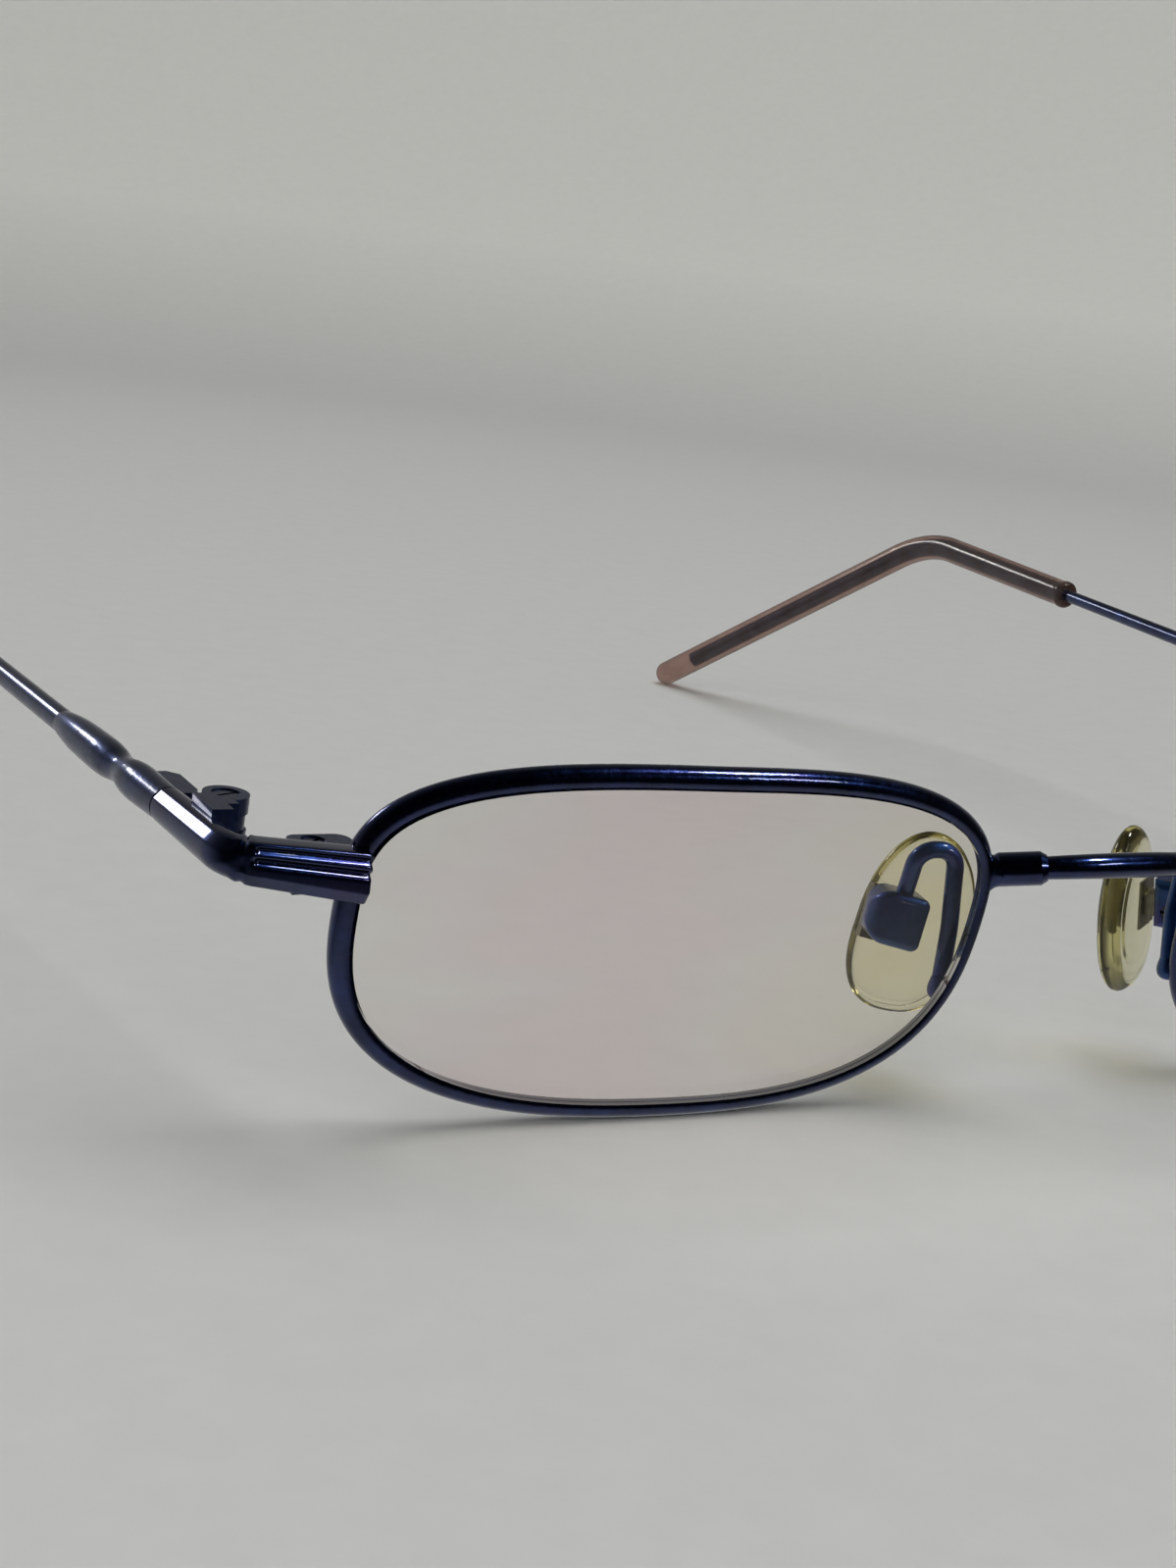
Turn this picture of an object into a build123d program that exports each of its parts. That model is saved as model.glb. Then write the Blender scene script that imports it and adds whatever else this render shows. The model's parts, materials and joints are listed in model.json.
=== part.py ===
from build123d import *
import math
import os

# Metal full-rim eyeglasses, standing open on a flat surface.
#
# Everything is first built in the worn frame: the origin is the middle of the bridge line,
# +X is the wearer's left, +Y runs back along the temples and +Z is up, with level temples.
# The wearer's right half (the -X side) is described, and mirrored for the left half.
# The whole pair is then tipped until the rims and the temple tips stand on z = 0.
# All sizes are in millimetres and degrees.

RIGHT, LEFT = -1, 1             # the wearer's sides, as signs of X

# Rims and lenses: the boxed outline is measured over the outside of the rim wire.
RIM_WIDTH = 49.2
RIM_HEIGHT = 25.9
RIM_SPACING = 19.94             # between the two rims, outside to outside, on the bridge line
BRIDGE_OVER_CENTRE = 4.87       # height of the bridge line over the boxed centre
PANTOSCOPIC_TILT = 6.9
WRAP_ANGLE = 4.0
BASE_CURVE_RADIUS = 123.5
TOP_PEAK_X = 1.24               # highest and lowest points of the outline, towards the nose
BOTTOM_PEAK_X = 0.59
NASAL_WIDEST_Z = 2.14
TEMPORAL_WIDEST_Z = 2.51
NASAL_TOP_POWER = 2.59          # superellipse powers of the four corners
TEMPORAL_TOP_POWER = 2.95
TEMPORAL_BOTTOM_POWER = 2.78
NASAL_BOTTOM_POWER = 2.90
OUTLINE_STEPS = 60

WIRE_THICKNESS = 1.3            # rim wire, across the outline
WIRE_HALF_DEPTH = 0.8           # rim wire, half its depth at the lens side
GROOVE_DEPTH = 0.5
GROOVE_HALF_WIDTH = 0.55
CLOSING_GAP = 0.16              # slit in the rim between the two closing blocks
CLOSING_HEIGHT = 4.4            # slit height over the boxed centre
LENS_THICKNESS = 1.7
LENS_CLEARANCE = 0.03
RIDGE_REACH = 0.3               # bevel ridge of the lens, inside the groove
RIDGE_THICKNESS = 0.2

# Bridge: a bowed bar with a ferrule soldered to each rim.
FERRULE_START = (-10.12, 0.05, 0.05)
FERRULE_END = (-6.92, -2.05, 0.86)
FERRULE_RADIUS = 1.22
FERRULE_SHOULDER = 0.45
FERRULE_END_RADIUS = 0.95
FERRULE_NECK_RADIUS = 1.0
FERRULE_NECK_PART = 0.14        # part of the ferrule's length, next to the rim
BAR_END_RADIUS = 0.80
BAR_MIDDLE_RADIUS = 0.92
BAR_MIDDLE = (0, -3.15, 1.30)
BAR_SOCKET = 1.2                # length of bar inside each ferrule

# Endpiece: a ribbed block in front of the rim that turns back into a round stub.
BLOCK_NOSE_END = (-57.77, 2.2, 0.0)
BLOCK_NOSE_SIZE = (2.1, 3.45)   # depth, height
BLOCK_OUTER_END = (-65.72, 2.75, 1.05)
BLOCK_OUTER_SIZE = (2.2, 2.75)
BLOCK_CORNER_RADIUS = 0.6
BLOCK_CHAMFER = (0.55, 0.8)       # lower front edge: depth, height
BLOCK_END_RADIUS = 0.45
BLOCK_GROOVE_RADIUS = 0.2
BLOCK_GROOVES = (0.14, 0.40)    # groove places as parts of the block height, down from the top
GROOVE_INSETS = (1.0, -0.2)     # how far the grooves stop short of the nose end and the outer end
STUB_INSIDE = 3.5               # length of the stub's root inside the block
STUB_RADIUS_FRONT = 1.36
STUB_RADIUS_BACK = 1.2
STUB_BEND_RADIUS = 2.6
STUB_CORNER = (-66.57, 2.75, 1.15)

# Closing block: the split block behind the endpiece that clamps the rim round the lens.
CLOSING_BLOCK_X = (-62.22, -57.97)
CLOSING_BLOCK_Y = (3.0, 5.6)
CLOSING_BLOCK_TOP = 1.6
CLOSING_BLOCK_BOTTOM = -1.4
CLOSING_SCREW = (-60.52, 4.6)
CLOSING_SCREW_RADIUS = 0.5
CLOSING_HEAD_RADIUS = 0.8
CLOSING_HEAD_HEIGHT = 0.48
CLOSING_HEAD_SUNK = 0.12
CLOSING_SLOT_TURN = 35          # where the driver slot came to rest
CLOSING_CORNER_RADIUS = 0.9

# Hinge: two front knuckles, one temple knuckle and a screw.
SEAM = (-67.2, 12.2, 1.38)     # middle of the butt joint between endpiece and temple
SEAM_GAP = 0.06
PIVOT = (-64.42, 9.7)
KNUCKLE_RADIUS = 1.5
TEMPLE_KNUCKLE_RADIUS = 1.36
HINGE_TOP = 3.0
HINGE_BOTTOM = -0.4
TEMPLE_KNUCKLE_TOP = 1.80
TEMPLE_KNUCKLE_BOTTOM = 0.80
KNUCKLE_GAP = 0.05
HINGE_SCREW_RADIUS = 0.6
HINGE_HEAD_RADIUS = 0.95
HINGE_HEAD_HEIGHT = 0.4
HINGE_HEAD_SUNK = 0.1
HINGE_SLOT_TURN = 20
PIVOT_CLEARANCE = 0.04
LEAF_X = (-66.6, -65.17)       # leaf of the front hinge, on the inner side of the stub
LEAF_Y = (6.4, 8.2)
FRONT_WEB_LENGTH = 2.2
TEMPLE_WEB_INSET = 0.3          # between the inner side of the temple knuckle's web and the pivot
TEMPLE_WEB_END = 1.5            # how far the web runs past the seam
TONGUE_X = (-66.7, -64.9)     # tongue on the inner side of the casting
TONGUE_RUN = (0.2, 4.8)         # its start and end behind the seam
TONGUE_Z = (-0.2, 2.1)
TONGUE_CHAMFER = 0.7
SLOT_WIDTH = 0.25               # driver slot in the screw heads
SLOT_DEPTH = 0.25

# Temple: casting, springy rod and plastic tip, measured back from the seam.
SPLAY = 2.6                     # outward angle of each temple
CASTING_FRONT_RADIUS = 1.18
CASTING_LOBE_RADIUS = 1.26
CASTING_WAIST = (7.3, 0.98)     # place behind the seam, radius
CASTING_LENGTH = 18.3
CASTING_END_RADIUS = 0.8
CASTING_LOBES = (3.0, 12.0)     # places of the two fullest sections
CASTING_SHOULDERS = ((5.8, 1.18), (8.6, 1.14), (16.2, 1.08))
ROD_SOCKET = 4.0
ROD_RADIUS_FRONT = 0.86
ROD_RADIUS_BACK = 0.70
TIP_START = 74.5
TEMPLE_BEND = 102.9
TIP_DROP = 49.3                 # from the bend to the end of the tip
BEND_ANGLE = 35.6
TIP_TURN_IN = 17.0
BEND_RADIUS = 14.0
TIP_RADIUS = 1.6
TIP_EDGE_RADIUS = 0.35
CORE_RADIUS = 0.6
CORE_CLEARANCE = 0.02
CORE_SHORT_OF_END = 7.0
CORE_END_CLEARANCE = 0.1

# Nose pad: its own frame has x away from the nose, y towards the lens and z up the pad.
PAD_CENTRE = (-10.71, 7.1, -6.17)
PAD_LEAN_IN = 0.184      # how the pad axis leans towards the nose and back, per unit of height
PAD_LEAN_BACK = 0.057
PAD_FACING = 25.0               # how far the pad faces inwards from straight back
PAD_HALF_WIDTH = 4.55
PAD_HALF_LENGTH = 6.85
PAD_THICKNESS = 2.4
PAD_EDGE_RADIUS = 1.0
INSERT_SIZE = (2.6, 0.6, 4.0)
TAB_X = 2.4                     # stud, box and screw sit off the pad's middle, away from the nose
TAB_THICKNESS = 1.5
TAB_HALF_HEIGHT = 0.85
PAD_PIVOT_Y = 3.25
PAD_SCREW_RADIUS = 0.42
PAD_HEAD_RADIUS = 0.72
PAD_HEAD_HEIGHT = 0.4
PAD_HEAD_SUNK = 0.05
PAD_SCREW_SHORT = 1.0           # wall of the pad box beyond the end of the pad screw
PAD_BORE_SHORT = 0.9
BOX_X = (0.65, 4.75)
BOX_Y = (1.85, 5.25)
BOX_Z = (-1.45, 2.45)
BOX_ROUNDING = 0.6
BOX_OUTER_ROUNDING = 1.5
POCKET_HALF_HEIGHT = 1.3
POCKET_WIDTH = 1.7
POCKET_FLOOR = 4.5

# Pad arm: a bent wire from the back of the rim to the pad box.
ARM_RADIUS = 0.62
ARM_CORNERS = ((-11.6, 2.25, -9.85), (-11.25, 2.8, -4.9), (-11.7, 3.1, 0.85), (-14.5, 3.8, 0.65))
ARM_BEND_RADII = (6.0, 1.35, 1.35)
ARM_IN_BOX = (TAB_X, 3.6, 1.5)  # where the wire ends, in the pad's frame


def lens_frame(side=RIGHT):
    """Frame of a lens at its boxed centre: x to the wearer's left, y back and z up."""
    nasal_point = Pos(side * RIM_SPACING / 2, 0, 0) * Rot(PANTOSCOPIC_TILT, 0, side * WRAP_ANGLE)
    return nasal_point * Pos(side * RIM_WIDTH / 2, 0, -BRIDGE_OVER_CENTRE)


def surface_y(x, z):
    """Depth of the base-curve sphere, which is zero at half the rim width."""
    edge = math.sqrt(BASE_CURVE_RADIUS**2 - (RIM_WIDTH / 2)**2)
    return edge - math.sqrt(BASE_CURVE_RADIUS**2 - x**2 - z**2)


def outline_point(angle, inset):
    """Right rim outline, drawn inwards by inset: one superellipse quarter per corner, +x nasal."""
    across, up = math.cos(angle), math.sin(angle)
    side, level = math.copysign(1, across), math.copysign(1, up)
    peak_x = TOP_PEAK_X if up >= 0 else BOTTOM_PEAK_X
    widest_z = NASAL_WIDEST_Z if across >= 0 else TEMPORAL_WIDEST_Z
    if up >= 0:
        power = NASAL_TOP_POWER if across >= 0 else TEMPORAL_TOP_POWER
    else:
        power = NASAL_BOTTOM_POWER if across >= 0 else TEMPORAL_BOTTOM_POWER
    reach_x = RIM_WIDTH / 2 - inset - side * peak_x
    reach_z = RIM_HEIGHT / 2 - inset - level * widest_z
    x = peak_x + side * reach_x * abs(across)**(2 / power)
    z = widest_z + level * reach_z * abs(up)**(2 / power)
    return x, z


def slit_angle(height):
    """Outline angle at a height on the upper temporal quarter."""
    rise = (height - TEMPORAL_WIDEST_Z) / (RIM_HEIGHT / 2 - TEMPORAL_WIDEST_Z)
    return math.pi - math.asin(rise**(TEMPORAL_TOP_POWER / 2))


def box_between(x, y, z):
    """Solid box from low and high limits on each axis."""
    size = (x[1] - x[0], y[1] - y[0], z[1] - z[0])
    middle = ((x[0] + x[1]) / 2, (y[0] + y[1]) / 2, (z[0] + z[1]) / 2)
    return Pos(*middle) * Box(*size)


def upright(radius, low, high, at):
    """Vertical cylinder between two heights at a place in plan."""
    return Pos(at[0], at[1], (low + high) / 2) * Cylinder(radius, high - low)


def make_rim(groove_depth):
    """Right rim wire with a V groove inside, open at the closing slit."""
    start = slit_angle(CLOSING_HEIGHT - CLOSING_GAP / 2)
    end = slit_angle(CLOSING_HEIGHT + CLOSING_GAP / 2) + 2 * math.pi
    spine_points = []
    for i in range(OUTLINE_STEPS + 1):
        x, z = outline_point(start + (end - start) * i / OUTLINE_STEPS, WIRE_THICKNESS / 2)
        spine_points.append((x, surface_y(x, z), z))
    spine = Spline(*spine_points)
    guide = Pos(0, WIRE_THICKNESS, 0) * spine
    along = spine % 0
    outward = along.cross(Vector(0, 1, 0)).normalized()
    if outward.dot(Vector(-1, 0, 0)) < 0:
        outward = -outward
    inner, outer = -WIRE_THICKNESS / 2, WIRE_THICKNESS / 2
    lips = Polyline(
        (inner, WIRE_HALF_DEPTH),
        (inner, GROOVE_HALF_WIDTH),
        (inner + groove_depth, 0),
        (inner, -GROOVE_HALF_WIDTH),
        (inner, -WIRE_HALF_DEPTH),
    )
    crown = ThreePointArc((inner, -WIRE_HALF_DEPTH), (outer, 0), (inner, WIRE_HALF_DEPTH))
    section = Plane(spine @ 0, x_dir=outward, z_dir=along) * make_face([lips, crown])
    return lens_frame() * sweep(section, path=spine, binormal=guide.edge())


def lens_slab(inset, thickness, side):
    """Part of a spherical shell of the base curve, cut to the outline less inset."""
    points = []
    for i in range(OUTLINE_STEPS):
        x, z = outline_point(2 * math.pi * i / OUTLINE_STEPS, inset)
        points.append((-side * x, 0, z))
    outline = make_face([Spline(*points, periodic=True)])
    prism = extrude(outline, amount=RIM_WIDTH / 4, both=True)
    shell = Sphere(BASE_CURVE_RADIUS + thickness / 2) - Sphere(BASE_CURVE_RADIUS - thickness / 2)
    centre_y = math.sqrt(BASE_CURVE_RADIUS**2 - (RIM_WIDTH / 2)**2)
    return prism & Pos(0, centre_y, 0) * shell


def make_lens(side):
    """Curved lens with a thin bevel ridge that sits in the rim groove."""
    inset = WIRE_THICKNESS + LENS_CLEARANCE
    body = lens_slab(inset, LENS_THICKNESS, side)
    ridge = lens_slab(inset - RIDGE_REACH, RIDGE_THICKNESS, side)
    return lens_frame(side) * (body + ridge)


def make_bridge_bar():
    """Bowed bar, a little thicker in the middle, sunk into both ferrules."""
    end = Vector(*FERRULE_END)
    inside = (Vector(*FERRULE_START) - end).normalized() * BAR_SOCKET
    left_end = Vector(-end.X, end.Y, end.Z)
    left_inside = Vector(-inside.X, inside.Y, inside.Z)
    path = Spline(end + inside, end, Vector(*BAR_MIDDLE), left_end, left_end + left_inside)
    sections = []
    for place, radius in ((0, BAR_END_RADIUS), (0.5, BAR_MIDDLE_RADIUS), (1, BAR_END_RADIUS)):
        sections.append(Plane(path @ place, z_dir=path % place) * Circle(radius))
    return sweep(sections, path=path, multisection=True)


def make_ferrule(rim, bar):
    """Turned ferrule with a neck at the rim and a chamfered shoulder at the bar."""
    start, end = Vector(*FERRULE_START), Vector(*FERRULE_END)
    length = (end - start).length
    neck = FERRULE_NECK_PART * length
    profile = Polyline(
        (0, 0),
        (FERRULE_NECK_RADIUS, 0),
        (FERRULE_NECK_RADIUS, neck - FERRULE_SHOULDER),
        (FERRULE_RADIUS, neck),
        (FERRULE_RADIUS, length - FERRULE_SHOULDER),
        (FERRULE_END_RADIUS, length),
        (0, length),
        (0, 0),
    )
    turned = revolve(Plane.XZ * make_face(profile), axis=Axis.Z)
    return Plane(start, z_dir=end - start) * turned - rim - bar


def block_section(half_depth, half_height):
    """Section of the endpiece block, with x back and y down: a chamfered lower front edge."""
    depth, height = BLOCK_CHAMFER
    outline = Polyline(
        (-half_depth, -half_height),
        (half_depth, -half_height),
        (half_depth, half_height),
        (depth - half_depth, half_height),
        (-half_depth, half_height - height),
        close=True,
    )
    section = make_face(outline)
    square_corners = section.vertices().sort_by(lambda corner: abs(corner.X * corner.Y))[-3:]
    return fillet(square_corners, BLOCK_CORNER_RADIUS)


def make_endpiece(rim):
    """Ribbed front block that runs into a round stub, ending at the temple seam."""
    nose, outer = Vector(*BLOCK_NOSE_END), Vector(*BLOCK_OUTER_END)
    facing = Plane(nose, x_dir=(0, 1, 0), z_dir=(-1, 0, 0))
    ends = []
    for centre, size in ((nose, BLOCK_NOSE_SIZE), (outer, BLOCK_OUTER_SIZE)):
        plane = Plane(centre, x_dir=facing.x_dir, z_dir=facing.z_dir)
        ends.append(plane * block_section(size[0] / 2, size[1] / 2))
    block = loft(ends)
    block = fillet(block.faces().sort_by(Axis.X)[0].edges(), BLOCK_END_RADIUS)
    seam = Vector(*SEAM) - Vector(0, SEAM_GAP / 2, 0)
    root = outer + Vector(STUB_INSIDE, 0, 0)
    path = FilletPolyline(root, Vector(*STUB_CORNER), seam, radius=STUB_BEND_RADIUS)
    front = Plane(path @ 0, z_dir=path % 0) * Circle(STUB_RADIUS_FRONT)
    back = Plane(path @ 1, z_dir=path % 1) * Circle(STUB_RADIUS_BACK)
    body = block + sweep([front, back], path=path, multisection=True)
    for part in BLOCK_GROOVES:
        line = []
        for centre, size, inset in (
            (nose, BLOCK_NOSE_SIZE, GROOVE_INSETS[0]),
            (outer, BLOCK_OUTER_SIZE, GROOVE_INSETS[1]),
        ):
            line.append(centre + Vector(inset, -size[0] / 2, size[1] * (0.5 - part)))
        start, end = line
        groove = Plane(start, z_dir=end - start) * Cylinder(
            BLOCK_GROOVE_RADIUS, (end - start).length, align=(Align.CENTER, Align.CENTER, Align.MIN)
        )
        body = body - groove
    return body - rim


def slotted_screw(radius, head_radius, head_height, length):
    """Screw along -Z with the top of its head on z = 0 and a driver slot."""
    head = Pos(0, 0, -head_height / 2) * Cylinder(head_radius, head_height)
    shank = Pos(0, 0, -length / 2) * Cylinder(radius, length)
    slot = Pos(0, 0, -SLOT_DEPTH / 2) * Box(3 * head_radius, SLOT_WIDTH, SLOT_DEPTH)
    return head + shank - slot


def make_closing_blocks(rim, endpiece):
    """Upper and lower halves of the closing block, drilled for the rim lock screw."""
    middle = (lens_frame() * Pos(-RIM_WIDTH / 2, 0, CLOSING_HEIGHT)).position.Z
    halves = []
    for low, high in (
        (middle + CLOSING_GAP / 2, CLOSING_BLOCK_TOP),
        (CLOSING_BLOCK_BOTTOM, middle - CLOSING_GAP / 2),
    ):
        half = box_between(CLOSING_BLOCK_X, CLOSING_BLOCK_Y, (low, high))
        outer_edges = half.edges().filter_by(Axis.Z).sort_by(Axis.Y)[-2:]
        half = fillet(outer_edges, CLOSING_CORNER_RADIUS)
        half = half - upright(CLOSING_SCREW_RADIUS, CLOSING_BLOCK_BOTTOM, CLOSING_BLOCK_TOP, CLOSING_SCREW)
        halves.append(half - rim - endpiece)
    recess_floor = CLOSING_BLOCK_TOP - CLOSING_HEAD_HEIGHT - CLOSING_HEAD_SUNK
    upper = halves[0] - upright(CLOSING_HEAD_RADIUS, recess_floor, CLOSING_BLOCK_TOP, CLOSING_SCREW)
    return upper, halves[1]


def make_rim_lock_screw():
    """Screw that pulls the closing block halves together."""
    head_top = CLOSING_BLOCK_TOP - CLOSING_HEAD_SUNK
    length = head_top - CLOSING_BLOCK_BOTTOM
    screw = slotted_screw(CLOSING_SCREW_RADIUS, CLOSING_HEAD_RADIUS, CLOSING_HEAD_HEIGHT, length)
    return Pos(*CLOSING_SCREW, head_top) * Rot(0, 0, CLOSING_SLOT_TURN) * screw


def make_hinge_front(endpiece):
    """Two fixed knuckles on a leaf brazed to the inner side of the endpiece."""
    hinge = box_between(LEAF_X, LEAF_Y, (HINGE_BOTTOM, HINGE_TOP))
    for low, high in (
        (TEMPLE_KNUCKLE_TOP + KNUCKLE_GAP, HINGE_TOP),
        (HINGE_BOTTOM, TEMPLE_KNUCKLE_BOTTOM - KNUCKLE_GAP),
    ):
        web_x = (LEAF_X[0], PIVOT[0])
        hinge = hinge + box_between(web_x, (PIVOT[1] - FRONT_WEB_LENGTH, PIVOT[1]), (low, high))
        hinge = hinge + upright(KNUCKLE_RADIUS, low, high, PIVOT)
    hinge = hinge - upright(HINGE_SCREW_RADIUS, HINGE_BOTTOM, HINGE_TOP, PIVOT)
    recess_floor = HINGE_TOP - HINGE_HEAD_HEIGHT - HINGE_HEAD_SUNK
    hinge = hinge - upright(HINGE_HEAD_RADIUS, recess_floor, HINGE_TOP, PIVOT)
    return hinge - endpiece


def make_hinge_screw():
    """Hinge screw, the axle that the temple knuckle turns on."""
    head_top = HINGE_TOP - HINGE_HEAD_SUNK
    length = head_top - HINGE_BOTTOM
    screw = slotted_screw(HINGE_SCREW_RADIUS, HINGE_HEAD_RADIUS, HINGE_HEAD_HEIGHT, length)
    return Pos(*PIVOT, head_top) * Rot(0, 0, HINGE_SLOT_TURN) * screw


def temple_frame():
    """Frame at the seam with z along the temple and y up."""
    along = Vector(-math.sin(math.radians(SPLAY)), math.cos(math.radians(SPLAY)), 0)
    return Plane(Vector(*SEAM), x_dir=along.cross(Vector(0, 0, 1)), z_dir=along)


def make_casting(rod):
    """Temple casting: two lobes with a waist, bored for the rod."""
    sections = [(0, CASTING_FRONT_RADIUS), CASTING_WAIST, (CASTING_LENGTH, CASTING_END_RADIUS)]
    sections += [(place, CASTING_LOBE_RADIUS) for place in CASTING_LOBES]
    sections += CASTING_SHOULDERS
    lobes = Spline(*[(radius, place) for place, radius in sorted(sections)])
    rest = Polyline(lobes @ 1, (0, CASTING_LENGTH), (0, 0), lobes @ 0)
    turned = revolve(Plane.XZ * make_face([lobes, rest]), axis=Axis.Z)
    return temple_frame().offset(SEAM_GAP / 2) * turned - rod


def make_hinge_temple(casting):
    """Temple knuckle and its tongue, brazed to the inner side of the casting."""
    knuckle_z = (TEMPLE_KNUCKLE_BOTTOM, TEMPLE_KNUCKLE_TOP)
    hinge = upright(TEMPLE_KNUCKLE_RADIUS, *knuckle_z, PIVOT)
    web_x = (PIVOT[0] - TEMPLE_KNUCKLE_RADIUS, PIVOT[0] - TEMPLE_WEB_INSET)
    hinge = hinge + box_between(web_x, (PIVOT[1], SEAM[1] + TEMPLE_WEB_END), knuckle_z)
    tongue_y = (SEAM[1] + TONGUE_RUN[0], SEAM[1] + TONGUE_RUN[1])
    tongue = box_between(TONGUE_X, tongue_y, TONGUE_Z)
    inner_edges = tongue.edges().filter_by(Axis.Z).sort_by(Axis.X)[-2:]
    hinge = hinge + chamfer(inner_edges, TONGUE_CHAMFER)
    bore = upright(HINGE_SCREW_RADIUS + PIVOT_CLEARANCE, *knuckle_z, PIVOT)
    return hinge - bore - casting


def temple_path(start, short_of_end):
    """Line of the temple from a place behind the seam, round the bend, to the tip."""
    frame = temple_frame()
    origin, along = frame.origin, frame.z_dir
    down = math.radians(BEND_ANGLE)
    turn = math.radians(TIP_TURN_IN)
    drop = Vector(math.sin(turn) * math.cos(down), math.cos(turn) * math.cos(down), -math.sin(down))
    bend = origin + along * TEMPLE_BEND
    end = bend + drop * (TIP_DROP - short_of_end)
    return FilletPolyline(origin + along * start, bend, end, radius=BEND_RADIUS)


def round_sweep(path, radius):
    """Round bar along a path of lines and arcs."""
    return sweep(Plane(path @ 0, z_dir=path % 0) * Circle(radius), path=path)


def make_rod():
    """Tapered rod from its socket in the casting, with the core that stiffens the tip."""
    frame = temple_frame()
    start = CASTING_LENGTH - ROD_SOCKET
    length = TIP_START - start
    taper = Plane(frame.origin + frame.z_dir * start, x_dir=frame.x_dir, z_dir=frame.z_dir) * Cone(
        ROD_RADIUS_FRONT, ROD_RADIUS_BACK, length, align=(Align.CENTER, Align.CENTER, Align.MIN)
    )
    return taper + round_sweep(temple_path(TIP_START, CORE_SHORT_OF_END), CORE_RADIUS)


def make_tip():
    """Plastic tip with a rounded end, bored for the core."""
    outside = temple_path(TIP_START, TIP_RADIUS)
    sleeve = round_sweep(outside, TIP_RADIUS)
    sleeve = fillet(sleeve.edges().filter_by(GeomType.CIRCLE).sort_by(Axis.Y)[0], TIP_EDGE_RADIUS)
    end = Pos(*(outside @ 1)) * Sphere(TIP_RADIUS)
    bore_path = temple_path(TIP_START, CORE_SHORT_OF_END - CORE_END_CLEARANCE)
    bore = round_sweep(bore_path, CORE_RADIUS + CORE_CLEARANCE)
    return sleeve + end - bore


def pad_frame():
    """Frame of the right nose pad: x away from the nose, y towards the lens, z up the pad."""
    up = Vector(PAD_LEAN_IN, PAD_LEAN_BACK, 1).normalized()
    facing = math.radians(PAD_FACING)
    sideways = Vector(-math.cos(facing), math.sin(facing), 0)
    across = (sideways - up * sideways.dot(up)).normalized()
    return Plane(Vector(*PAD_CENTRE), x_dir=across, z_dir=up)


def make_insert():
    """Metal insert in the pad: a plate with a drilled stud."""
    plate = Pos(TAB_X, 0, 0) * Box(*INSERT_SIZE)
    stud = box_between(
        (TAB_X - TAB_THICKNESS / 2, TAB_X + TAB_THICKNESS / 2),
        (0, PAD_PIVOT_Y),
        (-TAB_HALF_HEIGHT, TAB_HALF_HEIGHT),
    )
    screw_line = Pos(TAB_X, PAD_PIVOT_Y, 0) * Rot(0, 90, 0)
    round_end = screw_line * Cylinder(TAB_HALF_HEIGHT, TAB_THICKNESS)
    bore = screw_line * Cylinder(PAD_SCREW_RADIUS + PIVOT_CLEARANCE, 2 * TAB_THICKNESS)
    return pad_frame() * (plate + stud + round_end - bore)


def make_pad(insert):
    """Soft oval pad moulded round the insert."""
    oval = Plane.XZ * Ellipse(PAD_HALF_WIDTH, PAD_HALF_LENGTH)
    slab = extrude(oval, amount=PAD_THICKNESS / 2, both=True)
    return pad_frame() * fillet(slab.edges(), PAD_EDGE_RADIUS) - insert


def make_pad_arm(rim):
    """Bent wire from the rim to the pad box."""
    end = pad_frame().from_local_coords(Vector(*ARM_IN_BOX))
    corners = [Vector(*corner) for corner in ARM_CORNERS]
    path = FilletPolyline(*corners, end, radius=list(ARM_BEND_RADII))
    return round_sweep(path, ARM_RADIUS) - rim


def make_pad_box(arm):
    """Rounded box with a pocket for the stud, drilled across for the pad screw."""
    box = box_between(BOX_X, BOX_Y, BOX_Z)
    outer_edges = box.faces().sort_by(Axis.X)[-1].edges()
    box = fillet(outer_edges, BOX_OUTER_ROUNDING)
    inner_edges = box.faces().sort_by(Axis.X)[0].edges() + box.faces().sort_by(Axis.Y)[-1].edges()
    box = fillet(inner_edges, BOX_ROUNDING)
    box = box - box_between(
        (TAB_X - POCKET_WIDTH / 2, TAB_X + POCKET_WIDTH / 2),
        (0, POCKET_FLOOR),
        (-POCKET_HALF_HEIGHT, POCKET_HALF_HEIGHT),
    )
    screw_line = Pos(BOX_X[0], PAD_PIVOT_Y, 0) * Rot(0, 90, 0)
    length = BOX_X[1] - BOX_X[0] - PAD_BORE_SHORT
    recess = PAD_HEAD_HEIGHT + PAD_HEAD_SUNK
    box = box - screw_line * Pos(0, 0, length / 2) * Cylinder(PAD_SCREW_RADIUS, length)
    box = box - screw_line * Pos(0, 0, recess / 2) * Cylinder(PAD_HEAD_RADIUS, recess)
    return pad_frame() * box - arm


def make_pad_screw():
    """Cross-headed screw through the pad box and the stud."""
    length = BOX_X[1] - BOX_X[0] - PAD_SCREW_SHORT
    screw = slotted_screw(PAD_SCREW_RADIUS, PAD_HEAD_RADIUS, PAD_HEAD_HEIGHT, length)
    cross = Pos(0, 0, -SLOT_DEPTH / 2) * Box(SLOT_WIDTH, 3 * PAD_HEAD_RADIUS, SLOT_DEPTH)
    head_place = Pos(BOX_X[0] + PAD_HEAD_SUNK, PAD_PIVOT_Y, 0) * Rot(0, -90, 0)
    return pad_frame() * head_place * (screw - cross)


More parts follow.
